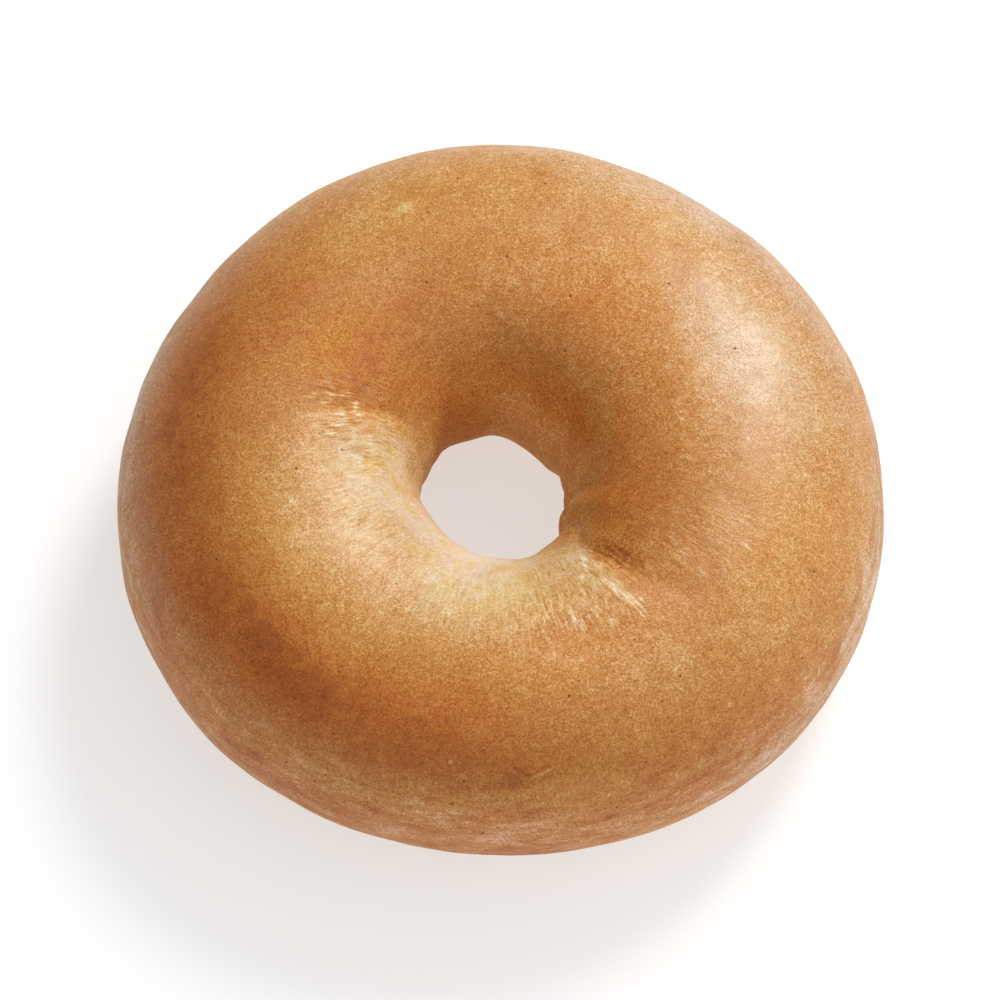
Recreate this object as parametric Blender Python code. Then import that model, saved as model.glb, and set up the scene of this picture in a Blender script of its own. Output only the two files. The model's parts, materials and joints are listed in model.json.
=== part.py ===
"""A plain sourdough bagel, modelled as the one solid loaf that it is.

Metres, +Z up. The origin is the middle of the underside, on the plane that the
loaf rests on. The side nearest the viewer is -Y, and +X is to the right.
"""

import math

import bpy
import numpy as np

MM = 0.001

# Driving sizes of the ring
OUTER_RADIUS = 53.8 * MM      # mean radius of the loaf's outline, seen from above
HOLE_RADIUS = 10.75 * MM      # mean radius of the hole at its narrowest
HOLE_OFFSET = (-1.3 * MM, -0.2 * MM)  # the hole sits a little off the middle
CREST_RADIUS = 32.0 * MM      # radius of the line along the top of the ring
HEIGHT = 38.0 * MM            # underside to crest
WAIST_HEIGHT = 17.5 * MM      # where the flanks and the hole's wall stand furthest out
SOLE_DEPTH = 20.0 * MM        # the round section would reach this far below the waist
SOLE_ROUNDING = 1.2 * MM      # how softly the flat sole turns up into the flank

# How full each quarter of the ring's section is: 2 is an ellipse, more is squarer
FULL_TOP_OUTSIDE = 2.15
FULL_TOP_INSIDE = 2.0
FULL_SOLE_INSIDE = 2.2
FULL_SOLE_OUTSIDE = 2.35

# Unevenness of a hand-rolled ring: (waves round the ring, amount in mm, compass
# direction of one crest in degrees, counted from +X towards +Y)
OUTLINE_WAVES = ((2, 0.50, -7), (3, 0.60, -30), (4, 0.16, 26), (5, 0.12, 26))
HOLE_WAVES = ((2, 1.20, -72), (4, 0.30, 13), (5, 0.15, 33))
HEIGHT_WAVES = ((1, 0.35, 20), (2, 0.40, 150), (3, 0.35, 65))
CREST_LINE_WAVES = ((2, 0.50, 60), (3, 0.45, -20))
CREST_BUMPS = ((18, -1.4, 55),)

# Where the top was pressed a little flatter: direction round the ring, half width,
# angle round the section, half width, depth in mm
FLATS = ((20, 36, 79, 25, 0.5),)

# Local bulges of the hole's and of the outline's edge, where pleats in the dough
# meet it: (direction in degrees, how far out in mm, half width in degrees)
HOLE_CORNERS = ((92, 0.2, 16), (180, 0.5, 26), (10, 0.5, 15), (35, 0.75, 18), (284, 0.6, 19),
                (128, 0.25, 12), (108, -0.4, 13), (-31, -1.0, 12), (160, -0.3, 18), (245, -0.25, 14))
OUTLINE_BUMPS = ((3, -0.25, 16), (54, -0.4, 14), (240, -0.2, 9), (120, 0.3, 9), (212, -0.2, 18),
                 (272, -0.2, 36), (325, -0.25, 18), (24, 0.15, 12), (140, 0.2, 10))

# Where the dough was joined and pinched, a crease runs out of the hole and up the
# inner slope. Its stations are (radius in mm, direction in degrees, depth of the
# valley in mm, height in mm of the lobe beside it, distance of the lobe in mm). Then
# the valley's width in mm on the clockwise and on the other side, and the lobe's width
CREASES = (
    (((11.5, -35, 0.6, -0.3, -2.2), (13.5, -45, 1.0, -0.4, -2.4), (16.4, -52.5, 1.4, -0.4, -2.6),
      (19.3, -53.5, 1.4, -0.2, -2.7), (24, -52.2, 1.2, 0.1, -3.2), (28, -50, 0.9, 0.2, -4.0),
      (34, -46, 0.35, 0.1, -6.2), (38, -43, 0.0, 0.0, -7.0)),
     (1.8, 3.2), 2.6),
    (((11.5, 163, 0.6, 0.1, 3.2), (13, 156, 1.0, 0.2, 3.2), (15, 157, 1.3, 0.4, 3.2),
      (17, 160.5, 1.2, 0.6, 3.2), (20, 165, 0.9, 0.6, 3.2), (24, 171, 0.5, 0.4, 3.2),
      (28, 177, 0.2, 0.2, 3.2), (32, 183, 0.0, 0.0, 3.2)),
     (2.8, 1.0), 3.0),
)
CREASE_FOOT_FROM, CREASE_FOOT_AT = 190, 232

# Mesh density
AROUND, SECTION = 96, 40


def smooth(t):
    t = np.clip(t, 0.0, 1.0)
    return t * t * (3.0 - 2.0 * t)


def waves(theta, table):
    total = np.zeros_like(theta)
    for count, amount, direction in table:
        total += amount * MM * np.cos(count * (theta - math.radians(direction)))
    return total


def power(x, p):
    return np.sign(x) * np.abs(x) ** p


def bulges(theta, table):
    total = np.zeros_like(theta)
    for direction, amount, half in table:
        turn = (np.degrees(theta) - direction + 180.0) % 360.0 - 180.0
        total += amount * MM * (1.0 - smooth(np.abs(turn) / half))
    return total


def patch(theta_deg, phi_deg, theta, theta_half, phi, phi_half):
    """A soft spot on the loaf: 1 in its middle, 0 past its half widths, in degrees."""
    turn = (theta_deg - theta + 180.0) % 360.0 - 180.0
    away = np.sqrt((turn / theta_half) ** 2 + ((phi_deg - phi) / phi_half) ** 2)
    return 1 - smooth(away)


def creases(theta, phi, rho):
    """How far the surface moves towards the core of the ring, in metres."""
    total = np.zeros_like(theta)
    degrees = np.degrees(phi) % 360.0
    inside = smooth((degrees - 60.0) / 20.0)
    inside *= 1.0 - smooth((degrees - CREASE_FOOT_FROM) / (CREASE_FOOT_AT - CREASE_FOOT_FROM))
    for stations, widths, spread in CREASES:
        radii, directions, depths, heights, distances = zip(*stations)
        turn = theta - np.radians(np.interp(rho / MM, radii, directions))
        across = rho / MM * (turn - 2 * math.pi * np.round(turn / (2 * math.pi)))
        width = np.where(across < 0, widths[0], widths[1])
        valley = np.exp(-(np.sqrt(across ** 2 + 0.25 ** 2) - 0.25) / width)
        lobe = np.exp(-(((across - np.interp(rho / MM, radii, distances)) / spread) ** 2))
        depth = np.interp(rho / MM, radii, depths)
        height = np.interp(rho / MM, radii, heights)
        total += (depth * valley - height * lobe) * MM * inside
    return total


def ring_surface(theta, phi):
    """The crust at theta round the ring and phi round its section, which starts
    at the outer flank and goes over the crest, down the hole and back below."""
    outer = OUTER_RADIUS + waves(theta, OUTLINE_WAVES) + bulges(theta, OUTLINE_BUMPS)
    inner = HOLE_RADIUS + waves(theta, HOLE_WAVES) + bulges(theta, HOLE_CORNERS)
    inner += HOLE_OFFSET[0] * np.cos(theta) + HOLE_OFFSET[1] * np.sin(theta)
    crest = CREST_RADIUS + waves(theta, CREST_LINE_WAVES) + bulges(theta, CREST_BUMPS)
    height = HEIGHT + waves(theta, HEIGHT_WAVES)

    c, s = np.cos(phi), np.sin(phi)
    full = np.where(
        c >= 0,
        np.where(s >= 0, FULL_TOP_OUTSIDE, FULL_SOLE_OUTSIDE),
        np.where(s >= 0, FULL_TOP_INSIDE, FULL_SOLE_INSIDE),
    )
    reach = np.where(c >= 0, outer - crest, crest - inner)
    rise = np.where(s >= 0, height - WAIST_HEIGHT, SOLE_DEPTH)
    rho = crest + reach * power(c, 2.0 / full)
    z = WAIST_HEIGHT + rise * power(s, 2.0 / full)

    into = creases(theta, phi, rho)
    theta_deg, phi_deg = np.degrees(theta), (np.degrees(phi) + 90.0) % 360.0 - 90.0
    for way, way_half, angle, angle_half, depth in FLATS:
        into = into + depth * MM * patch(theta_deg, phi_deg, way, way_half, angle, angle_half)
    rho = rho - into * c
    z = z - into * s

    # The loaf was baked on a flat tray, so everything below it is pressed flat
    k = SOLE_ROUNDING
    z = np.where(z < -k, 0.0, np.where(z < k, (z + k) ** 2 / (4 * k), z))
    return np.stack([rho * np.cos(theta), rho * np.sin(theta), z], axis=-1)


def even_section_angles(count):
    """Angles round the section that space the rows of the mesh evenly on the crust."""
    fine = np.linspace(0.0, 2 * math.pi, 2881)
    line = ring_surface(np.full_like(fine, math.radians(60)), fine)
    steps = np.linalg.norm(np.diff(line, axis=0), axis=1)
    length = np.concatenate([[0.0], np.cumsum(steps)])
    return np.interp(np.arange(count) / count * length[-1], length, fine)


def clear_scene():
    for obj in list(bpy.data.objects):
        bpy.data.objects.remove(obj, do_unlink=True)


def crust_material():
    material = bpy.data.materials.new("golden_crust")
    material.use_nodes = True
    shader = material.node_tree.nodes["Principled BSDF"]
    shader.inputs["Base Color"].default_value = (0.53, 0.25, 0.075, 1.0)
    shader.inputs["Roughness"].default_value = 0.42
    shader.inputs["Metallic"].default_value = 0.0
    return material


def make_bagel(collection):
    guide_radius, guide_section = CREST_RADIUS, 20 * MM
    bpy.ops.mesh.primitive_torus_add(
        major_segments=AROUND,
        minor_segments=SECTION,
        major_radius=guide_radius,
        minor_radius=guide_section,
    )
    bagel = bpy.context.object
    bagel.name = bagel.data.name = "bagel"
    for other in list(bagel.users_collection):
        other.objects.unlink(bagel)
    collection.objects.link(bagel)

    # Every point of the plain torus is carried to its place on the loaf
    points = np.empty(len(bagel.data.vertices) * 3)
    bagel.data.vertices.foreach_get("co", points)
    points = points.reshape(-1, 3)
    theta = np.arctan2(points[:, 1], points[:, 0])
    around = np.arctan2(points[:, 2], np.hypot(points[:, 0], points[:, 1]) - guide_radius)
    row = np.round(around / (2 * math.pi) * SECTION).astype(int) % SECTION
    phi = even_section_angles(SECTION)[row]
    crust = ring_surface(theta, phi)

    # The origin goes to the middle of the underside
    low, high = crust.min(axis=0), crust.max(axis=0)
    crust[:, :2] -= (low[:2] + high[:2]) / 2
    bagel.data.vertices.foreach_set("co", crust.ravel())
    bagel.data.update()
    bagel.data.shade_smooth()
    bagel.data.materials.append(crust_material())
    return bagel


def main():
    clear_scene()
    parts = bpy.data.collections.new("sourdough_bagel")
    bpy.context.scene.collection.children.link(parts)
    make_bagel(parts)


main()
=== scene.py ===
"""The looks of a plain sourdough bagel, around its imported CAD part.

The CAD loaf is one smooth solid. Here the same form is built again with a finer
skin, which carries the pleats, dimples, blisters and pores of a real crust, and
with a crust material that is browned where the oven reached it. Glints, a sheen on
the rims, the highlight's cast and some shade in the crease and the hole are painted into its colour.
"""

import json
import math

import bpy
import numpy as np
from mathutils import Matrix, Vector

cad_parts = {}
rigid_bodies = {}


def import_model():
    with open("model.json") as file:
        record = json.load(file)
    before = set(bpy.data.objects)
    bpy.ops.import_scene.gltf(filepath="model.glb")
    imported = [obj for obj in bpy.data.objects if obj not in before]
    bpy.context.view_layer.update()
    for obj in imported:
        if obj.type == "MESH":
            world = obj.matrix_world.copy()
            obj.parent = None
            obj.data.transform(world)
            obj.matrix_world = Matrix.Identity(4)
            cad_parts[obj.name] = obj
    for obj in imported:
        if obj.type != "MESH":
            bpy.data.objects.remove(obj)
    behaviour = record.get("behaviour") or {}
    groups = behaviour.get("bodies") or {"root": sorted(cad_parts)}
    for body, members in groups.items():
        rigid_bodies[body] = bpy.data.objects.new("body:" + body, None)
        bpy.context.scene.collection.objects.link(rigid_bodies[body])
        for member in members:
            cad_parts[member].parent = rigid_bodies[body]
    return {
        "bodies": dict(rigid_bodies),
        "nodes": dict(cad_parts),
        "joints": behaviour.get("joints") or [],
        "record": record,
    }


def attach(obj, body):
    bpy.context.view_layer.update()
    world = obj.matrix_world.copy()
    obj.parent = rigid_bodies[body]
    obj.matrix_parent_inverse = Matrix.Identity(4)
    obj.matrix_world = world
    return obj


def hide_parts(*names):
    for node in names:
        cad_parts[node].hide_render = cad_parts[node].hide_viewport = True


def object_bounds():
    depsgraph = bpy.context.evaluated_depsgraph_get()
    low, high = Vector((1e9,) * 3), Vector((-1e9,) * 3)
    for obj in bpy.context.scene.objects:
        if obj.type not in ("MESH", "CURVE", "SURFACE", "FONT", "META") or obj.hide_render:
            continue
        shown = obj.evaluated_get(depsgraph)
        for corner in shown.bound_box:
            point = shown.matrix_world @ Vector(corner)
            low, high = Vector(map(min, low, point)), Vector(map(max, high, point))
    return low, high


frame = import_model()
CAD_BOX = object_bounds()

MM = 0.001

# ---------------------------------------------------------------------------
# The form of the loaf, the same as in the CAD part
# ---------------------------------------------------------------------------

# Driving sizes of the ring
OUTER_RADIUS = 53.8 * MM      # mean radius of the loaf's outline, seen from above
HOLE_RADIUS = 10.75 * MM      # mean radius of the hole at its narrowest
HOLE_OFFSET = (-1.3 * MM, -0.2 * MM)  # the hole sits a little off the middle
CREST_RADIUS = 32.0 * MM      # radius of the line along the top of the ring
HEIGHT = 38.0 * MM            # underside to crest
WAIST_HEIGHT = 17.5 * MM      # where the flanks and the hole's wall stand furthest out
SOLE_DEPTH = 20.0 * MM        # the round section would reach this far below the waist
SOLE_ROUNDING = 1.2 * MM      # how softly the flat sole turns up into the flank

# How full each quarter of the ring's section is: 2 is an ellipse, more is squarer
FULL_TOP_OUTSIDE = 2.15
FULL_TOP_INSIDE = 2.0
FULL_SOLE_INSIDE = 2.2
FULL_SOLE_OUTSIDE = 2.35

# Unevenness of a hand-rolled ring: (waves round the ring, amount in mm, compass
# direction of one crest in degrees, counted from +X towards +Y)
OUTLINE_WAVES = ((2, 0.50, -7), (3, 0.60, -30), (4, 0.16, 26), (5, 0.12, 26))
HOLE_WAVES = ((2, 1.20, -72), (4, 0.30, 13), (5, 0.15, 33))
HEIGHT_WAVES = ((1, 0.35, 20), (2, 0.40, 150), (3, 0.35, 65))
CREST_LINE_WAVES = ((2, 0.50, 60), (3, 0.45, -20))
CREST_BUMPS = ((18, -1.4, 55),)

# Where the top was pressed a little flatter: direction round the ring, half width,
# angle round the section, half width, depth in mm
FLATS = ((20, 36, 79, 25, 0.5),)

# Local bulges of the hole's and of the outline's edge, where pleats in the dough
# meet it: (direction in degrees, how far out in mm, half width in degrees)
HOLE_CORNERS = ((92, 0.2, 16), (180, 0.5, 26), (10, 0.5, 15), (35, 0.75, 18), (284, 0.6, 19),
                (128, 0.25, 12), (108, -0.4, 13), (-31, -1.0, 12), (160, -0.3, 18), (245, -0.25, 14))
OUTLINE_BUMPS = ((3, -0.25, 16), (54, -0.4, 14), (240, -0.2, 9), (120, 0.3, 9), (212, -0.2, 18),
                 (272, -0.2, 36), (325, -0.25, 18), (24, 0.15, 12), (140, 0.2, 10))

# Where the dough was joined and pinched, a crease runs out of the hole and up the
# inner slope. Its stations are (radius in mm, direction in degrees, depth of the
# valley in mm, height in mm of the lobe beside it, distance of the lobe in mm). Then
# the valley's width in mm on the clockwise and on the other side, and the lobe's width
CREASES = (
    (((11.5, -35, 0.6, -0.3, -2.2), (13.5, -45, 1.0, -0.4, -2.4), (16.4, -52.5, 1.4, -0.4, -2.6),
      (19.3, -53.5, 1.4, -0.2, -2.7), (24, -52.2, 1.2, 0.1, -3.2), (28, -50, 0.9, 0.2, -4.0),
      (34, -46, 0.35, 0.1, -6.2), (38, -43, 0.0, 0.0, -7.0)),
     (1.8, 3.2), 2.6),
    (((11.5, 163, 0.6, 0.1, 3.2), (13, 156, 1.0, 0.2, 3.2), (15, 157, 1.3, 0.4, 3.2),
      (17, 160.5, 1.2, 0.6, 3.2), (20, 165, 0.9, 0.6, 3.2), (24, 171, 0.5, 0.4, 3.2),
      (28, 177, 0.2, 0.2, 3.2), (32, 183, 0.0, 0.0, 3.2)),
     (2.8, 1.0), 3.0),
)
CREASE_FOOT_FROM, CREASE_FOOT_AT = 190, 232

CAD_AROUND, CAD_SECTION = 96, 40      # the CAD solid's own mesh density
AROUND, SECTION = 512, 190            # this skin's: 194,560 triangles


def smooth(t):
    t = np.clip(t, 0.0, 1.0)
    return t * t * (3.0 - 2.0 * t)


def waves(theta, table):
    total = np.zeros_like(theta)
    for count, amount, direction in table:
        total += amount * MM * np.cos(count * (theta - math.radians(direction)))
    return total


def power(x, p):
    return np.sign(x) * np.abs(x) ** p


def bulges(theta, table):
    total = np.zeros_like(theta)
    for direction, amount, half in table:
        turn = (np.degrees(theta) - direction + 180.0) % 360.0 - 180.0
        total += amount * MM * (1.0 - smooth(np.abs(turn) / half))
    return total


def patch(theta_deg, phi_deg, theta, theta_half, phi, phi_half):
    """A soft spot on the loaf: 1 in its middle, 0 past its half widths, in degrees."""
    turn = (theta_deg - theta + 180.0) % 360.0 - 180.0
    away = np.sqrt((turn / theta_half) ** 2 + ((phi_deg - phi) / phi_half) ** 2)
    return 1 - smooth(away)


def creases(theta, phi, rho):
    """How far the surface moves towards the core of the ring, in metres."""
    total = np.zeros_like(theta)
    degrees = np.degrees(phi) % 360.0
    inside = smooth((degrees - 60.0) / 20.0)
    inside *= 1.0 - smooth((degrees - CREASE_FOOT_FROM) / (CREASE_FOOT_AT - CREASE_FOOT_FROM))
    for stations, widths, spread in CREASES:
        radii, directions, depths, heights, distances = zip(*stations)
        turn = theta - np.radians(np.interp(rho / MM, radii, directions))
        across = rho / MM * (turn - 2 * math.pi * np.round(turn / (2 * math.pi)))
        width = np.where(across < 0, widths[0], widths[1])
        valley = np.exp(-(np.sqrt(across ** 2 + 0.25 ** 2) - 0.25) / width)
        lobe = np.exp(-(((across - np.interp(rho / MM, radii, distances)) / spread) ** 2))
        depth = np.interp(rho / MM, radii, depths)
        height = np.interp(rho / MM, radii, heights)
        total += (depth * valley - height * lobe) * MM * inside
    return total


def ring_surface(theta, phi):
    """The crust at theta round the ring and phi round its section, which starts
    at the outer flank and goes over the crest, down the hole and back below."""
    outer = OUTER_RADIUS + waves(theta, OUTLINE_WAVES) + bulges(theta, OUTLINE_BUMPS)
    inner = HOLE_RADIUS + waves(theta, HOLE_WAVES) + bulges(theta, HOLE_CORNERS)
    inner += HOLE_OFFSET[0] * np.cos(theta) + HOLE_OFFSET[1] * np.sin(theta)
    crest = CREST_RADIUS + waves(theta, CREST_LINE_WAVES) + bulges(theta, CREST_BUMPS)
    height = HEIGHT + waves(theta, HEIGHT_WAVES)

    c, s = np.cos(phi), np.sin(phi)
    full = np.where(
        c >= 0,
        np.where(s >= 0, FULL_TOP_OUTSIDE, FULL_SOLE_OUTSIDE),
        np.where(s >= 0, FULL_TOP_INSIDE, FULL_SOLE_INSIDE),
    )
    reach = np.where(c >= 0, outer - crest, crest - inner)
    rise = np.where(s >= 0, height - WAIST_HEIGHT, SOLE_DEPTH)
    rho = crest + reach * power(c, 2.0 / full)
    z = WAIST_HEIGHT + rise * power(s, 2.0 / full)

    into = creases(theta, phi, rho)
    theta_deg, phi_deg = np.degrees(theta), (np.degrees(phi) + 90.0) % 360.0 - 90.0
    for way, way_half, angle, angle_half, depth in FLATS:
        into = into + depth * MM * patch(theta_deg, phi_deg, way, way_half, angle, angle_half)
    rho = rho - into * c
    z = z - into * s

    # The loaf was baked on a flat tray, so everything below it is pressed flat
    k = SOLE_ROUNDING
    z = np.where(z < -k, 0.0, np.where(z < k, (z + k) ** 2 / (4 * k), z))
    return np.stack([rho * np.cos(theta), rho * np.sin(theta), z], axis=-1)


def section_angles(count, density=None):
    """Angles round the section whose rows are evenly spaced on the crust, or
    spaced by a density: a function of the angle, in degrees."""
    fine = np.linspace(0.0, 2 * math.pi, 2881)
    line = ring_surface(np.full_like(fine, math.radians(60)), fine)
    steps = np.linalg.norm(np.diff(line, axis=0), axis=1)
    if density is not None:
        steps = steps * density(np.degrees((fine[:-1] + fine[1:]) / 2))
    length = np.concatenate([[0.0], np.cumsum(steps)])
    return np.interp(np.arange(count) / count * length[-1], length, fine)


def cad_middle():
    """Where the CAD part's own mesh has the middle of its outline."""
    theta = np.arange(CAD_AROUND) / CAD_AROUND * 2 * math.pi
    phi = section_angles(CAD_SECTION)
    crust = ring_surface(*np.meshgrid(theta, phi, indexing="ij")).reshape(-1, 3)
    return (crust.min(axis=0) + crust.max(axis=0))[:2] / 2


# ---------------------------------------------------------------------------
# Smooth random fields for dough: gradient noise from seeded tables
# ---------------------------------------------------------------------------

_random = np.random.default_rng(20)
SHUFFLE = np.tile(_random.permutation(256), 2)
SLOPES = _random.normal(size=(256, 3))
SLOPES /= np.linalg.norm(SLOPES, axis=1)[:, None]


def noise(points):
    """Gradient noise of about -1 to 1, with features one unit apart."""
    cell = np.floor(points).astype(int)
    inside = points - cell
    ease = inside ** 3 * (inside * (inside * 6 - 15) + 10)
    total = np.zeros(points.shape[:-1])
    for corner in np.ndindex(2, 2, 2):
        x, y, z = [(cell[..., i] + corner[i]) & 255 for i in range(3)]
        slope = SLOPES[SHUFFLE[SHUFFLE[SHUFFLE[x] + y] + z]]
        weight = np.ones_like(total)
        for i in range(3):
            weight = weight * (ease[..., i] if corner[i] else 1 - ease[..., i])
        total += weight * np.sum(slope * (inside - np.array(corner)), axis=-1)
    return total * 1.7


def band(x, start, full, end_full, end):
    """0 outside start..end, 1 between full and end_full, smooth between."""
    return smooth((x - start) / (full - start)) * (1 - smooth((x - end_full) / (end - end_full)))


# ---------------------------------------------------------------------------
# The skin
# ---------------------------------------------------------------------------


# Where the dough was drawn in towards the hole it has fine radial pleats:
# direction round the ring, half width, angle round the section, half width, strength
PLEATED = (
    (178, 42, 128, 34, 1.0),
    (172, 20, 117, 24, 1.5),
    (215, 34, 118, 28, 0.8),
    (258, 36, 110, 30, 0.55),
    (296, 32, 112, 36, 1.0),
    (290, 30, 98, 26, 0.85),
    (330, 34, 96, 34, 0.55),
    (-5, 30, 96, 22, 0.35),
    (35, 40, 74, 24, 0.3),
)

# How far the oven browned the crust, added up from an even golden 0.5, with one row that
# paints shade instead: amount, direction round the ring, half width, angle round the section, half
# width
BROWNED = (
    (+0.24, 215, 85, 56, 44),
    (+0.08, 222, 30, 56, 24),
    (+0.10, 262, 60, 56, 34),
    (+0.08, 266, 34, 42, 18),
    (+0.06, 268, 30, 38, 18),
    (+0.22, 160, 50, 62, 52),
    (+0.17, 135, 50, 118, 50),
    (+0.20, 158, 24, 120, 38),
    (+0.08, 122, 36, 152, 26),
    (+0.04, 140, 30, 80, 24),
    (+0.11, 45, 115, 140, 30),
    (+0.08, 56, 20, 79, 16),
    (+0.04, -16, 16, 82, 14),
    (+0.06, -51, 8, 98, 10),
    (+0.06, 70, 44, 158, 16),
    (-0.09, 165, 14, 28, 14),
    (-0.04, 186, 18, 120, 15),
    (+0.04, -45, 24, 86, 16),
    (-0.06, -44, 22, 2, 15),
    (+0.06, 268, 30, -14, 22),
    (+0.05, 302, 18, 12, 16),
    (+0.05, 168, 20, 106, 22),
    (+0.06, 0, 12, 138, 16),
    (-0.07, 42, 34, 134, 24),
    (+0.09, 58, 24, 82, 20),
    (+0.08, 134, 22, 119, 24),
    (-0.08, 151, 17, 105, 18),
    (+0.10, 146, 34, 148, 28),
    (+0.05, 182, 24, 94, 22),
    (+0.06, 192, 18, 148, 18),
    (-0.07, 88, 13, 84, 14),
    (-0.05, 70, 18, 60, 14),
    (-0.08, 14, 42, 63, 17),
    (+0.05, 141, 18, 36, 18),
    (+0.08, 257, 24, 91, 15),
    (-0.07, -60, 15, 70, 13),
    (-0.06, 170, 34, 30, 24),
    (+0.22, -32, 42, 122, 36),
    (+0.12, -49, 16, 104, 26),
    # painted shade: a darker band low on the hole's far wall
    (+0.07, 45, 90, 146, 14),
    (-0.16, -61, 15, 130, 20),
    (+0.07, -38, 26, 84, 26),
    (+0.08, -12, 30, 72, 26),
    (+0.06, -22, 34, 94, 22),
    (+0.05, -10, 34, 122, 40),
    (+0.05, -12, 28, 94, 26),
    (-0.06, -22, 18, 0, 20),
    (-0.07, -42, 22, 152, 22),
    (+0.06, 222, 52, 64, 24),
    (+0.10, 222, 54, 0, 22),
    (+0.05, 245, 36, 82, 18),
    (+0.05, 288, 22, 122, 18),
    (+0.10, 262, 28, -20, 18),
    (-0.06, -42, 20, -20, 18),
    (+0.06, 302, 34, 34, 24),
    (+0.09, 95, 40, 85, 26),
    (-0.33, 180, 46, 138, 44),
    (-0.38, 228, 56, 158, 42),
    (-0.38, 262, 46, 142, 46),
    (-0.14, 285, 56, 116, 46),
    (-0.12, 262, 32, 108, 30),
    (-0.14, 214, 34, 130, 30),
    (-0.08, 234, 28, 119, 18),
    (-0.16, 180, 24, 158, 20),
    (-0.06, 202, 24, 122, 20),
    (-0.08, 340, 34, 6, 28),
    (-0.07, 172, 34, 16, 20),
    (-0.08, 215, 70, 100, 32),
    (-0.08, 20, 80, 80, 40),
    (-0.08, 60, 80, 30, 60),
    (+0.09, 255, 75, 18, 34),
    (+0.10, 312, 50, 34, 34),
)

# Where the brown leans to red, where to a dull pink, where to gold, and where the skin
# is paler and greyer, partly dust and partly a painted sheen and highlight: strength, then the same
# four numbers
RUDDY = (
    (1.0, 50, 85, 112, 36),
    (0.6, 60, 110, 156, 30),
    (0.5, 262, 60, 62, 30),
    (0.6, 284, 46, 82, 34),
    (0.4, 198, 50, 14, 24),
    (0.4, 42, 44, 134, 22),
)
ROSY = (
    (0.9, 205, 75, 42, 34),
    (0.7, 255, 100, 0, 36),
    (0.5, 305, 60, 10, 30),
    (0.5, -8, 40, 132, 30),
)
GOLDEN = (
    (1.0, 228, 74, 82, 30),
    (1.0, 105, 58, 82, 28),
    (1.0, 148, 34, 100, 30),
    (1.0, 56, 24, 83, 20),
    (1.0, 276, 36, 108, 20),
    (1.0, 284, 36, 34, 22),
    (1.0, -22, 24, 72, 22),
)
DUST_AND_SHEEN = (
    # painted sheen where light glances off the right shoulder and rim
    (1.0, 35, 80, 30, 50),
    # painted highlight: the skin made paler and cooler under the softbox's highlight
    (0.7, 24, 38, 78, 28),
    (0.5, 12, 42, 62, 22),
    (0.5, 70, 24, 58, 18),
    # painted sheen along the right and near rims
    (1.0, 15, 70, 16, 32),
    (0.4, -42, 40, 4, 34),
    (0.6, 185, 55, 56, 30),
    (0.5, 215, 40, 136, 30),
    (0.5, -54, 22, 140, 30),
    (0.8, -8, 24, 140, 24),
    (0.3, 165, 18, 28, 16),
    (0.3, 186, 20, 120, 16),
)

# Where a cool painted sheen lies along the rim, where light glances off it
PAINTED_RIM_SHEEN = (
    (0.9, 50, 78, 42, 24),
    (0.8, -5, 34, 14, 22),
    (0.8, -42, 26, -4, 22),
    (0.9, 180, 36, 15, 20),
    (1.0, 162, 34, 30, 24),
)

# Where the skin is taut and shines
GLOSSY = (
    (0.88, 20, 44, 78, 28),
    (0.7, 187, 34, 124, 30),
    (0.5, 225, 40, 116, 30),
    (0.5, 290, 30, 112, 32),
    (0.3, -26, 22, 80, 22),
)

# Where it is duller than elsewhere
DULL = (
    (0.8, 148, 30, 102, 24),
)

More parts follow.
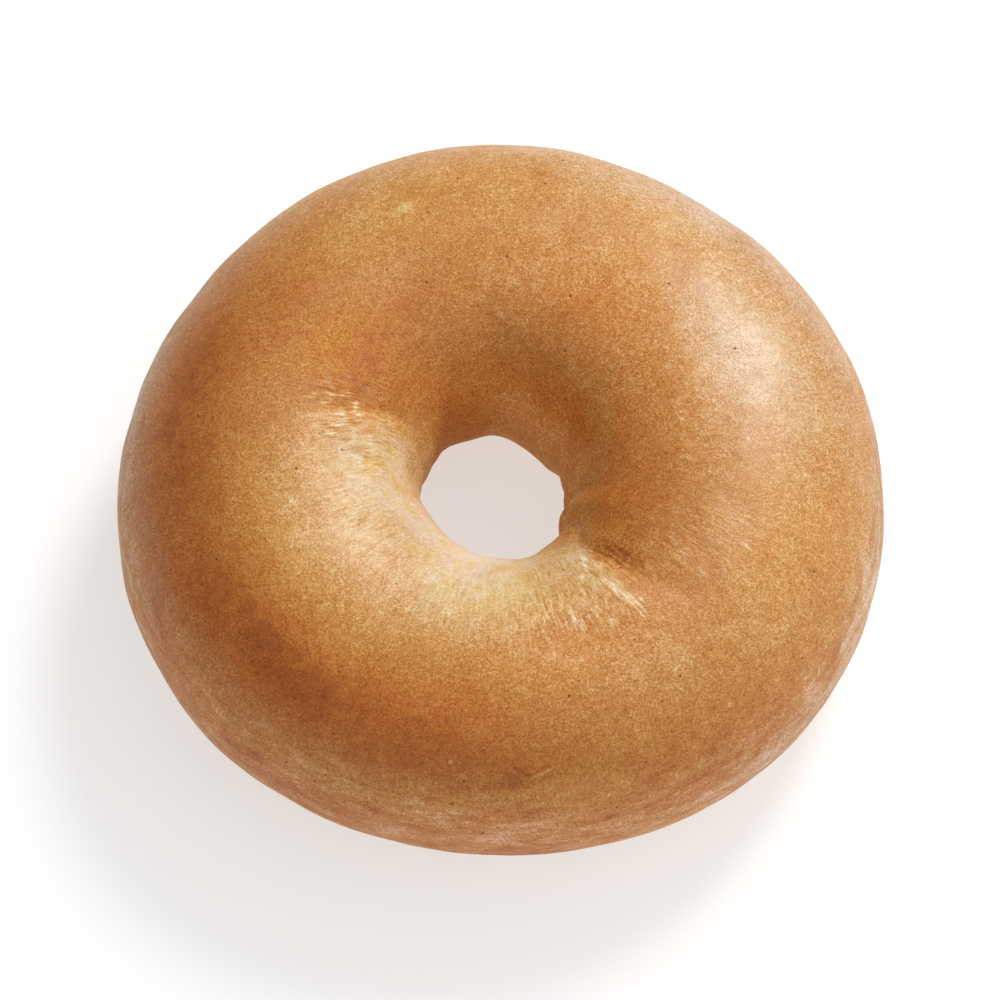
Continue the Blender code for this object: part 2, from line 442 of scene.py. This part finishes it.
# Blemishes, painted glints and painted shade: direction round the ring and angle round
# the section of the middle, length and width in mm, how far the length is turned up from
# running round the ring, and how much browner the crust is there
MARKS = (
    (111, 76, 4.6, 1.9, 0, -0.09),       # blister on the far shoulder, pale and raised
    (116.5, 75.5, 1.7, 1.2, 0, 0.11),    # and the darker skin at its end
    (103, 75, 3.2, 1.5, 0, 0.08),
    (82, 65, 3.4, 1.5, 0, 0.12),
    (90, 126.5, 1.9, 0.8, -45, -0.14),
    (-9, 104, 1.8, 0.7, 62, -0.13),
    (-30, 86, 3.2, 1.8, 76, -0.10),      # rubbed skin beside the crease
    (-23, 81, 2.4, 0.9, 76, -0.12),
    (-28, 75.5, 2.0, 0.6, 76, -0.20),
    (-39, 83, 2.6, 0.9, 80, -0.20),
    (-58.5, 118, 8.0, 1.8, 96, -0.16),   # stretched pale skin along the lobe, with painted glints on it
    (-56.8, 96, 7.5, 1.8, 95, -0.09),
    (-58.3, 101, 5.0, 0.5, 94, -0.24),
    (-57.0, 95.5, 6.0, 0.6, 96, -0.26),
    (-55.2, 89.5, 5.0, 0.45, 96, -0.28),
    (-53.8, 89.7, 0.9, 0.5, 94, -0.30),
    (-56.1, 84.5, 1.8, 0.4, 94, -0.25),
    (-70.7, 96.7, 2.8, 0.6, 92, -0.28),  # and painted glints where the pleats fan out
    (-66.4, 103.5, 1.7, 0.45, 92, -0.22),
    (-78.2, 102, 3.2, 0.4, 92, -0.20),
    (-63.1, 88.3, 1.4, 0.5, 95, -0.22),
    (-49, 116, 10.0, 3.4, 104, 0.24),    # painted shade on the valley's dark side, and by the rim
    (-49, 153, 1.6, 1.0, 90, 0.25),
    # painted glints on the left crest and lobe
    (-159.5, 94.5, 1.8, 0.8, 20, -0.20),
    (165.5, 121.5, 1.6, 0.6, 20, -0.22),
    (170, 117.5, 2.4, 0.8, 20, -0.20),
    (-56, 63, 1.6, 0.35, 10, -0.20),
    (-51, 40.4, 0.9, 0.7, 0, -0.20),
    (-52.4, 17.5, 1.8, 1.1, 60, 0.14),   # two scuffs low on the near side
    (-50.2, 10, 2.0, 1.2, 50, 0.15),
    (-83.4, 39, 4.2, 0.5, 24, -0.22),    # a scratch, with bruised skin beside it
    (-83.6, 41, 3.2, 0.6, 24, 0.10),
    (-88, 36, 5.4, 2.6, 10, 0.08),
    (-96, 37.6, 1.4, 0.9, -50, -0.16),
    # a painted glint
    (-98.6, 43.9, 0.6, 0.5, 0, -0.30),
    (-95.7, 33, 1.9, 0.9, 0, 0.08),
    (-94.5, 57.6, 4.4, 2.8, 0, -0.07),
    (-61, -3, 4.6, 1.6, 8, 0.10),
)

# Where the skin blistered as it proved: direction, half width, angle round the
# section, half width, how many blisters, and the usual radius and height of one in mm
BLISTERED = (
    (-159, 14, 90, 9, 9, 0.85, 0.10),
    (167, 7, 118, 11, 3, 0.85, 0.12),
    (-72, 4, 97, 5, 2, 0.7, 0.09),
    (-37, 10, 86, 12, 4, 0.7, 0.09),
    (111, 0, 76, 0, 1, 1.6, 0.10),
    (50, 100, 35, 35, 8, 1.0, 0.07),
    (230, 70, 20, 30, 4, 1.0, 0.06),
)

# Pinholes where bubbles in the dough burst: how far apart they lie in the dough, and
# the radius of the widest, in mm
PINHOLE_SPACING, PINHOLE_RADIUS = 4.1, 0.18


def blisters():
    """Each blister's direction, angle round the section, radius and height."""
    rng = np.random.default_rng(5)
    for theta, theta_half, phi, phi_half, count, radius, height in BLISTERED:
        for _ in range(count):
            away, way = math.sqrt(rng.random()), rng.uniform(0, 2 * math.pi)
            size = rng.uniform(0.8, 1.2)
            yield (theta + theta_half * away * math.cos(way),
                   phi + phi_half * away * math.sin(way), radius * size, height * size)


def blister(points, theta, phi, radius):
    """1 on top of a blister, 0 past its foot."""
    middle = ring_surface(np.radians(theta), np.radians(phi))
    return 1 - smooth(np.linalg.norm(points - middle, axis=-1) / (radius * MM))


def browning(points, theta_deg, phi_deg):
    """0 is the pale skin that hardly browned, 0.5 golden, 1 the deepest brown."""
    p = points / MM
    bake = np.full(theta_deg.shape, 0.50)
    for amount, theta, theta_half, phi, phi_half in BROWNED:
        bake += amount * patch(theta_deg, phi_deg, theta, theta_half, phi, phi_half)
    # The hole's own wall saw the least heat, most of all on its near side
    wall = band(phi_deg, 148, 166, 215, 240)
    hidden = 0.45 - 0.30 * patch(theta_deg, phi_deg, 235, 90, 190, 400)
    hidden += 0.26 * patch(theta_deg, phi_deg, 120, 42, 190, 400)
    bake = bake * (1 - wall) + hidden * wall
    # The sole lay on the hot tray
    sole = band(phi_deg, 225, 244, 360, 400) + band(phi_deg, -200, -100, -66, -46)
    bake = bake * (1 - sole) + 0.62 * sole
    bake += 0.05 * noise(p / 13.0 + 61.0) + 0.05 * noise(p / 6.0 + 71.0)
    bake += 0.04 * noise(p / 2.7 + 81.0)
    for theta, phi, radius, height in blisters():
        bake -= 1.2 * height * blister(points, theta, phi, radius)
    return bake


def relief(points, theta_deg, phi_deg, arc):
    """The unevenness of the crust, in mm outwards."""
    p = points / MM
    off_sole = band(phi_deg, -60, -38, 205, 236)
    bumps = 0.26 * noise(p / 17.0 + 3.1)
    bumps += 0.13 * noise(p / 8.0 + 11.7)
    bumps += 0.05 * noise(p / 3.6 + 23.9)
    bumps += 0.02 * noise(p / 1.9 + 41.3)

    # Pleats run in from the ring towards the hole, in bunches
    pleated = total_of(PLEATED, theta_deg, phi_deg, strength_last=True)
    turn = drawn_turn(theta_deg, phi_deg, arc)
    around = np.stack([np.cos(turn) * 17.0, np.sin(turn) * 17.0, arc / MM * 0.22], axis=-1)
    lines = 0.6 * noise(around / 0.95 + 5.5) + 0.6 * noise(around / 0.52 + 15.5)
    bunches = np.clip(0.9 + 0.9 * noise(around / 3.2 + 33.0), 0.2, 1.8)
    bumps += 0.15 * lines * bunches * pleated
    for theta, phi, radius, height in blisters():
        bumps += height * blister(points, theta, phi, radius)
    return bumps * off_sole


def drawn_turn(theta_deg, phi_deg, arc):
    """Direction round the ring, in radians, that a pleat keeps along its length. On
    the left the pleats do not run straight at the hole but aslant."""
    slant = 0.018 * patch(theta_deg, phi_deg, 172, 52, 125, 62)
    return np.radians(theta_deg) + slant * (arc / MM - 12.0)


def total_of(table, theta_deg, phi_deg, strength_last=False):
    """Soft spots of a table laid over each other, the strongest one counting."""
    total = np.zeros_like(theta_deg)
    for row in table:
        strength, spot = (row[4], row[:4]) if strength_last else (row[0], row[1:])
        total = np.maximum(total, strength * patch(theta_deg, phi_deg, *spot))
    return total


def build_skin():
    def density(degrees):
        degrees = (degrees + 90) % 360 - 90          # -90 to 270
        return 0.45 + 0.75 * band(degrees, -62, -20, 195, 232)

    bpy.ops.mesh.primitive_torus_add(
        major_segments=AROUND,
        minor_segments=SECTION,
        major_radius=CREST_RADIUS,
        minor_radius=20 * MM,
    )
    skin = bpy.context.object
    skin.name = skin.data.name = "bagel_crust"

    points = np.empty(len(skin.data.vertices) * 3)
    skin.data.vertices.foreach_get("co", points)
    points = points.reshape(-1, 3)
    theta = np.arctan2(points[:, 1], points[:, 0])
    around = np.arctan2(points[:, 2], np.hypot(points[:, 0], points[:, 1]) - CREST_RADIUS)
    column = np.round(theta / (2 * math.pi) * AROUND).astype(int) % AROUND
    row = np.round(around / (2 * math.pi) * SECTION).astype(int) % SECTION

    # The same crust on a regular grid of columns and rows
    angles = section_angles(SECTION, density)
    theta_grid, phi_grid = np.meshgrid(
        np.arange(AROUND) / AROUND * 2 * math.pi, angles, indexing="ij")
    crust = ring_surface(theta_grid, phi_grid)
    along = np.roll(crust, -1, axis=0) - np.roll(crust, 1, axis=0)
    up = np.roll(crust, -1, axis=1) - np.roll(crust, 1, axis=1)
    out = np.cross(along, up)
    out /= np.linalg.norm(out, axis=-1)[..., None]

    theta_deg = np.degrees(theta_grid)
    phi_deg = (np.degrees(phi_grid) + 90) % 360 - 90
    steps = np.linalg.norm(np.diff(crust, axis=1), axis=-1)
    arc = np.concatenate([np.zeros((AROUND, 1)), np.cumsum(steps, axis=1)], axis=1)
    closing = np.linalg.norm(crust[:, 0] - crust[:, -1], axis=-1)[:, None]
    crest = arc[:, [np.argmin(np.abs(angles - math.pi / 2))]]
    # Measured from the crest inwards, with the join of the two ends under the sole
    arc = arc - np.where(angles > math.radians(270), arc[:, -1:] + closing, 0.0) - crest
    skin_points = crust + out * (relief(crust, theta_deg, phi_deg, arc) * MM)[..., None]

    # Exactly the CAD part's size and place
    middle = cad_middle()
    skin_points[..., :2] -= middle
    low, high = np.array(CAD_BOX[0]), np.array(CAD_BOX[1])
    own_low = skin_points.reshape(-1, 3).min(axis=0)
    own_high = skin_points.reshape(-1, 3).max(axis=0)
    fit = (high - low) / (own_high - own_low)
    skin_points = low + (skin_points - own_low) * fit

    skin.data.vertices.foreach_set("co", skin_points[column, row].ravel())
    skin.data.update()
    skin.data.shade_smooth()

    fields = {
        "theta_deg": theta_deg,
        "phi_deg": phi_deg,
        "bake": browning(crust, theta_deg, phi_deg),
        "pleated": total_of(PLEATED, theta_deg, phi_deg, strength_last=True),
        "ruddy": total_of(RUDDY, theta_deg, phi_deg),
        "rosy": total_of(ROSY, theta_deg, phi_deg),
        "golden": total_of(GOLDEN, theta_deg, phi_deg),
        "dust_and_sheen": total_of(DUST_AND_SHEEN, theta_deg, phi_deg),
        "glossy": total_of(GLOSSY, theta_deg, phi_deg),
        "painted_rim_sheen": total_of(PAINTED_RIM_SHEEN, theta_deg, phi_deg),
        "flank": band(phi_deg, -70, -45, 12, 48)
        * (1 - 0.4 * patch(theta_deg, phi_deg, 80, 140, -10, 400)),
        "dull": np.maximum(
            band(phi_deg, 130, 158, 215, 240), total_of(DULL, theta_deg, phi_deg)),
    }
    for name, values in fields.items():
        layer = skin.data.attributes.new(name, "FLOAT", "POINT")
        layer.data.foreach_set("value", values[column, row].astype(np.float32).ravel())
    # Coordinates that run with the dough, for marks drawn out towards the hole
    turn = drawn_turn(theta_deg, phi_deg, arc)
    flow = np.stack([np.cos(turn) * 17 * MM, np.sin(turn) * 17 * MM, arc], axis=-1)
    layer = skin.data.attributes.new("flow", "FLOAT_VECTOR", "POINT")
    layer.data.foreach_set("vector", flow[column, row].astype(np.float32).ravel())

    def local_frame(theta, phi, turned=0.0):
        """A place on the skin, and its directions round the ring, round the section
        and outwards, turned from the first towards the second."""
        i = int(round(theta % 360 / 360 * AROUND)) % AROUND
        j = int(np.argmin(np.abs((np.degrees(angles) + 90) % 360 - 90 - phi)))
        normal = Vector(out[i, j])
        first = Vector(along[i, j]).normalized()
        second = Vector(up[i, j]).normalized()
        angle = math.radians(turned)
        length = first * math.cos(angle) + second * math.sin(angle)
        return Vector(skin_points[i, j]), length, normal.cross(length), normal

    return skin, local_frame


# ---------------------------------------------------------------------------
# Materials
# ---------------------------------------------------------------------------


def srgb(r, g, b):
    def linear(v):
        v /= 255.0
        return v / 12.92 if v <= 0.04045 else ((v + 0.055) / 1.055) ** 2.4
    return (linear(r), linear(g), linear(b), 1.0)


class Nodes:
    """Short ways to add and join shader nodes."""

    def __init__(self, tree):
        self.tree = tree

    def add(self, kind, **settings):
        node = self.tree.nodes.new("ShaderNode" + kind)
        for name, value in settings.items():
            setattr(node, name, value)
        return node

    def put(self, socket, value):
        if isinstance(value, bpy.types.NodeSocket):
            self.tree.links.new(value, socket)
        else:
            socket.default_value = value

    def attribute(self, name, vector=False):
        node = self.add("Attribute", attribute_name=name)
        return node.outputs["Vector" if vector else "Fac"]

    def math(self, operation, a, b=0.0, c=0.0, clamp=False):
        node = self.add("Math", operation=operation, use_clamp=clamp)
        self.put(node.inputs[0], a)
        self.put(node.inputs[1], b)
        self.put(node.inputs[2], c)
        return node.outputs[0]

    def scale(self, vector, factors):
        node = self.add("VectorMath", operation="MULTIPLY")
        self.put(node.inputs[0], vector)
        node.inputs[1].default_value = factors
        return node.outputs[0]

    def noise(self, vector, size, detail=2.0, roughness=0.5, stretch=0.0):
        """Noise with features of a size in metres, about -1 to 1."""
        node = self.add("TexNoise", noise_dimensions="3D")
        self.put(node.inputs["Vector"], vector)
        node.inputs["Scale"].default_value = 1.0 / size
        node.inputs["Detail"].default_value = detail
        node.inputs["Roughness"].default_value = roughness
        node.inputs["Distortion"].default_value = stretch
        return self.math("MULTIPLY", self.math("SUBTRACT", node.outputs["Fac"], 0.5), 3.2)

    def ramp(self, value, stops, interpolation="LINEAR"):
        node = self.add("ValToRGB")
        node.color_ramp.interpolation = interpolation
        elements = node.color_ramp.elements
        while len(elements) < len(stops):
            elements.new(0.5)
        for element, (position, color) in zip(elements, stops):
            element.position = position
            element.color = color
        self.put(node.inputs["Fac"], value)
        return node.outputs["Color"]

    def spot(self, place, frame, length, width, rough):
        """1 in an oval spot on the skin, falling to 0 past its ragged edge."""
        middle, first, second, third = frame
        turned = Matrix((first, second, third)).transposed()
        node = self.add("Mapping", vector_type="TEXTURE")
        self.put(node.inputs["Vector"], place)
        node.inputs["Location"].default_value = middle
        node.inputs["Rotation"].default_value = turned.to_euler()
        node.inputs["Scale"].default_value = (length / 2, width / 2, max(width / 2, 0.4 * MM))
        away = self.add("VectorMath", operation="LENGTH")
        self.put(away.inputs[0], node.outputs[0])
        near = self.math("SUBTRACT", rough, away.outputs["Value"])
        return self.math("MULTIPLY", near, 1.3, clamp=True)

    def mix(self, amount, a, b, blend="MIX"):
        node = self.add("Mix", data_type="RGBA", blend_type=blend)
        self.put(node.inputs["Factor"], amount)
        self.put(node.inputs[6], a)
        self.put(node.inputs[7], b)
        return node.outputs[2]


def crust_material(local_frame):
    material = bpy.data.materials.new("crust")
    material.use_nodes = True
    shader = material.node_tree.nodes["Principled BSDF"]
    n = Nodes(material.node_tree)
    place = n.add("TexCoord").outputs["Object"]
    flow = n.attribute("flow", vector=True)
    bake = n.attribute("bake")
    pleated = n.attribute("pleated")
    flank = n.attribute("flank")

    # Grain of the crust, from fine to coarse
    fine = n.noise(place, 0.24 * MM, detail=1.0)
    coarse = n.noise(place, 0.50 * MM, detail=0.0)
    grain = n.math("ADD", n.math("MULTIPLY", fine, 1.1), n.math("MULTIPLY", coarse, 0.38))
    strength = n.math("MULTIPLY", bake, 2.2, clamp=True)
    strength = n.math("ADD", n.math("MULTIPLY", strength, 0.7), 0.3)
    strength = n.math("SUBTRACT", strength, n.math("MULTIPLY", pleated, 0.25))
    darkest = n.math("MULTIPLY", n.math("SUBTRACT", bake, 0.62), 1.6, clamp=True)
    strength = n.math("SUBTRACT", strength, darkest)
    grain = n.math("MULTIPLY", grain, strength)
    specks = n.noise(place, 1.5 * MM, detail=2.0, roughness=0.65)
    # Marks drawn out along the pleats, in bunches
    bunches = n.math("ADD", n.math("MULTIPLY", n.noise(place, 3.5 * MM, detail=1.0), 0.8), 0.9)
    drawn = n.noise(n.scale(flow, (1.0, 1.0, 0.15)), 0.30 * MM, detail=1.0)
    drawn = n.math("MULTIPLY", n.math("MULTIPLY", drawn, bunches), pleated)
    # Fine strokes there, where the wet dough was stretched to a shiny film
    strokes = n.math("ABSOLUTE", n.noise(n.scale(flow, (1.0, 1.0, 0.18)), 0.5 * MM, detail=1.0))
    strokes = n.math("SUBTRACT", 1.0, n.math("MULTIPLY", strokes, 5.0), clamp=True)
    here = n.noise(n.scale(flow, (1.0, 1.0, 0.5)), 0.9 * MM, detail=1.0)
    here = n.math("MULTIPLY", n.math("SUBTRACT", here, 0.1), 2.2, clamp=True)
    strokes = n.math("MULTIPLY", n.math("MULTIPLY", strokes, here), pleated, clamp=True)
    # Stretch marks and blotches that run round the lower flank
    streaks = n.noise(n.scale(flow, (0.9, 0.9, 1.0)), 0.75 * MM, detail=2.0, roughness=0.6)
    streaks = n.math("MULTIPLY", streaks, flank)
    blotches = n.noise(n.scale(flow, (1.2, 1.2, 1.0)), 2.4 * MM, detail=2.0, roughness=0.6)
    blotches = n.math("MULTIPLY", blotches, flank)

    tone = bake
    for pattern, amount in (
        (grain, -0.16), (specks, 0.09), (drawn, -0.23), (streaks, 0.14), (blotches, 0.24),
    ):
        tone = n.math("MULTIPLY_ADD", pattern, amount, tone)
    ragged = n.math("MULTIPLY_ADD", coarse, -0.25, 1.3)
    for theta, phi, length, width, turned, browner in MARKS:
        spot = n.spot(place, local_frame(theta, phi, turned), length * MM, width * MM, ragged)
        tone = n.math("MULTIPLY_ADD", spot, browner, tone)
    color = n.ramp(tone, (
        (0.00, srgb(232, 212, 183)),
        (0.25, srgb(216, 181, 131)),
        (0.50, srgb(196, 138, 69)),
        (0.75, srgb(180, 105, 36)),
        (1.00, srgb(141, 68, 23)),
    ))
    color = n.mix(n.attribute("ruddy"), color, (1.24, 1.03, 0.93, 1.0), "MULTIPLY")
    color = n.mix(n.attribute("rosy"), color, (1.08, 0.93, 1.12, 1.0), "MULTIPLY")
    color = n.mix(n.attribute("golden"), color, (1.04, 1.05, 0.88, 1.0), "MULTIPLY")
    # Painted sheen and highlight, partly real dust: greyer and cooler where the light glances and
    # where the highlight falls
    color = n.mix(n.attribute("dust_and_sheen"), color, (0.87, 0.945, 1.24, 1.0), "MULTIPLY")
    # Painted sheen: the rims made cooler and paler where light glances off them
    color = n.mix(n.attribute("painted_rim_sheen"), color, (0.98, 1.05, 1.38, 1.0), "MULTIPLY")

    # The flank is pinker where it stayed paler
    pink = n.math("MULTIPLY", blotches, -1.4, clamp=True)
    color = n.mix(pink, color, (1.03, 0.96, 1.09, 1.0), "MULTIPLY")

    # Pale dough is mottled with ochre and pink
    pale = n.math("MULTIPLY", n.math("SUBTRACT", 0.46, bake), 4.0, clamp=True)
    mottle = n.noise(n.scale(flow, (1.0, 1.0, 0.5)), 2.3 * MM, detail=2.0, roughness=0.65)
    ochre = n.math("MULTIPLY", n.math("MULTIPLY", mottle, pale), 1.8, clamp=True)
    color = n.mix(ochre, color, (0.97, 0.90, 0.62, 1.0), "MULTIPLY")
    pink = n.math("MULTIPLY", n.math("MULTIPLY", mottle, pale), -1.3, clamp=True)
    color = n.mix(pink, color, (1.0, 0.98, 1.16, 1.0), "MULTIPLY")

    # Painted glints: the sharpest ridges of the pleats and the fine strokes are painted bright
    painted_glints = n.math("MULTIPLY", n.math("SUBTRACT", drawn, 0.42), 2.4, clamp=True)
    color = n.mix(n.math("MULTIPLY", painted_glints, 0.4), color, srgb(250, 224, 186))
    color = n.mix(n.math("MULTIPLY", strokes, 0.3), color, srgb(252, 232, 204))

    value = n.math("ADD", n.math("MULTIPLY", grain, 0.20), 1.0)
    value = n.math("ADD", value, n.math("MULTIPLY", drawn, 0.10))
    shade = n.add("HueSaturation")
    n.put(shade.inputs["Color"], color)
    n.put(shade.inputs["Value"], value)
    color = shade.outputs["Color"]

    # Pinholes where bubbles in the dough burst
    bubbles = n.add("TexVoronoi")
    n.put(bubbles.inputs["Vector"], place)
    bubbles.inputs["Scale"].default_value = 1 / (PINHOLE_SPACING * MM)
    steep = -2.0 * PINHOLE_SPACING / PINHOLE_RADIUS
    holes = n.math("MULTIPLY_ADD", bubbles.outputs["Distance"], steep, 2.7, clamp=True)
    color = n.mix(n.math("MULTIPLY", holes, 0.8), color, srgb(92, 42, 16))
    n.put(shader.inputs["Base Color"], color)

    rough = n.math("ADD", n.math("MULTIPLY", grain, 0.03), 0.45)
    uneven = n.math("ADD", n.math("MULTIPLY", n.noise(place, 4.5 * MM, detail=1.0), 0.07), 0.19)
    rough = n.math("SUBTRACT", rough, n.math("MULTIPLY", n.attribute("glossy"), uneven))
    rough = n.math("SUBTRACT", rough, n.math("MULTIPLY", strokes, 0.12))
    rough = n.math("ADD", rough, n.math("MULTIPLY", flank, 0.12))
    rough = n.math("ADD", rough, n.math("MULTIPLY", n.attribute("dull"), 0.42))
    n.put(shader.inputs["Roughness"], n.math("ADD", rough, n.math("MULTIPLY", holes, 0.4)))
    shader.inputs["IOR"].default_value = 1.45
    shader.inputs["Specular IOR Level"].default_value = 0.44

    height = n.math("MULTIPLY", grain, 0.75)
    for pattern, amount in ((specks, 0.7), (drawn, 3.0), (strokes, 1.5), (streaks, -0.8)):
        height = n.math("MULTIPLY_ADD", pattern, amount, height)
    bump = n.add("Bump")
    bump.inputs["Strength"].default_value = 1.0
    bump.inputs["Distance"].default_value = 0.022 * MM
    calm = n.math("SUBTRACT", 1.0, n.math("MULTIPLY", n.attribute("glossy"), 0.4))
    n.put(bump.inputs["Height"], n.math("MULTIPLY", height, calm))
    n.put(shader.inputs["Normal"], bump.outputs["Normal"])
    return material


def floor_material():
    material = bpy.data.materials.new("pale_floor")
    material.use_nodes = True
    shader = material.node_tree.nodes["Principled BSDF"]
    shader.inputs["Base Color"].default_value = (0.52, 0.52, 0.52, 1.0)
    shader.inputs["Roughness"].default_value = 0.9
    shader.inputs["Specular IOR Level"].default_value = 0.1
    shader.inputs["Emission Color"].default_value = (1.0, 1.0, 1.0, 1.0)
    shader.inputs["Emission Strength"].default_value = 0.54
    return material


# ---------------------------------------------------------------------------
# Studio
# ---------------------------------------------------------------------------


def add_floor():
    bpy.ops.mesh.primitive_plane_add(size=6.0, location=(0, 0, 0))
    floor = bpy.context.object
    floor.name = "floor"
    floor.data.materials.append(floor_material())


def add_camera():
    elevation = math.radians(64.0)
    distance = 0.590
    target = Vector((-0.06, -1.79, 18.0)) * MM
    data = bpy.data.cameras.new("camera")
    data.lens = 150.0
    data.sensor_width = 36.0
    data.clip_start = 0.01
    data.clip_end = 20.0
    camera = bpy.data.objects.new("camera", data)
    camera.location = target + Vector((0, -math.cos(elevation), math.sin(elevation))) * distance
    camera.rotation_euler = (math.pi / 2 - elevation, 0, 0)
    bpy.context.scene.collection.objects.link(camera)
    bpy.context.scene.camera = camera


def add_lights():
    """A white room, brightest to the right, and one softbox behind on the right."""
    world = bpy.data.worlds.new("studio")
    world.use_nodes = True
    n = Nodes(world.node_tree)
    background = world.node_tree.nodes["Background"]
    way = n.add("TexCoord").outputs["Generated"]
    total = 0.0
    for direction, strength in (
        ((1, 0, 0.25), 1.02),
        ((0, 1, 0.25), 0.40),
        ((0, -1, 0.25), 0.53),
        ((0, 0, 1), 0.50),
    ):
        facing = n.add("VectorMath", operation="DOT_PRODUCT")
        n.put(facing.inputs[0], way)
        facing.inputs[1].default_value = Vector(direction).normalized()
        lobe = n.math("POWER", n.math("MAXIMUM", facing.outputs["Value"], 0.0), 2.0)
        total = n.math("ADD", n.math("MULTIPLY", lobe, strength), total)
    n.put(background.inputs["Strength"], total)
    background.inputs["Color"].default_value = (1.0, 1.0, 1.0, 1.0)
    bpy.context.scene.world = world

    data = bpy.data.lights.new("softbox", "AREA")
    data.shape = "DISK"
    data.size = 0.38
    data.energy = 8.2
    light = bpy.data.objects.new("softbox", data)
    way = Vector((0.355, 0.568, 0.741)).normalized()
    light.location = way * 1.2
    light.rotation_euler = way.to_track_quat("Z", "Y").to_euler()
    bpy.context.scene.collection.objects.link(light)


add_camera()
crust, local_frame = build_skin()
crust.data.materials.append(crust_material(local_frame))
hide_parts("bagel")
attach(crust, "root")
add_floor()
add_lights()

view = bpy.context.scene.view_settings
view.view_transform = "Standard"
view.look = "None"
view.exposure = 0.0
view.gamma = 1.0
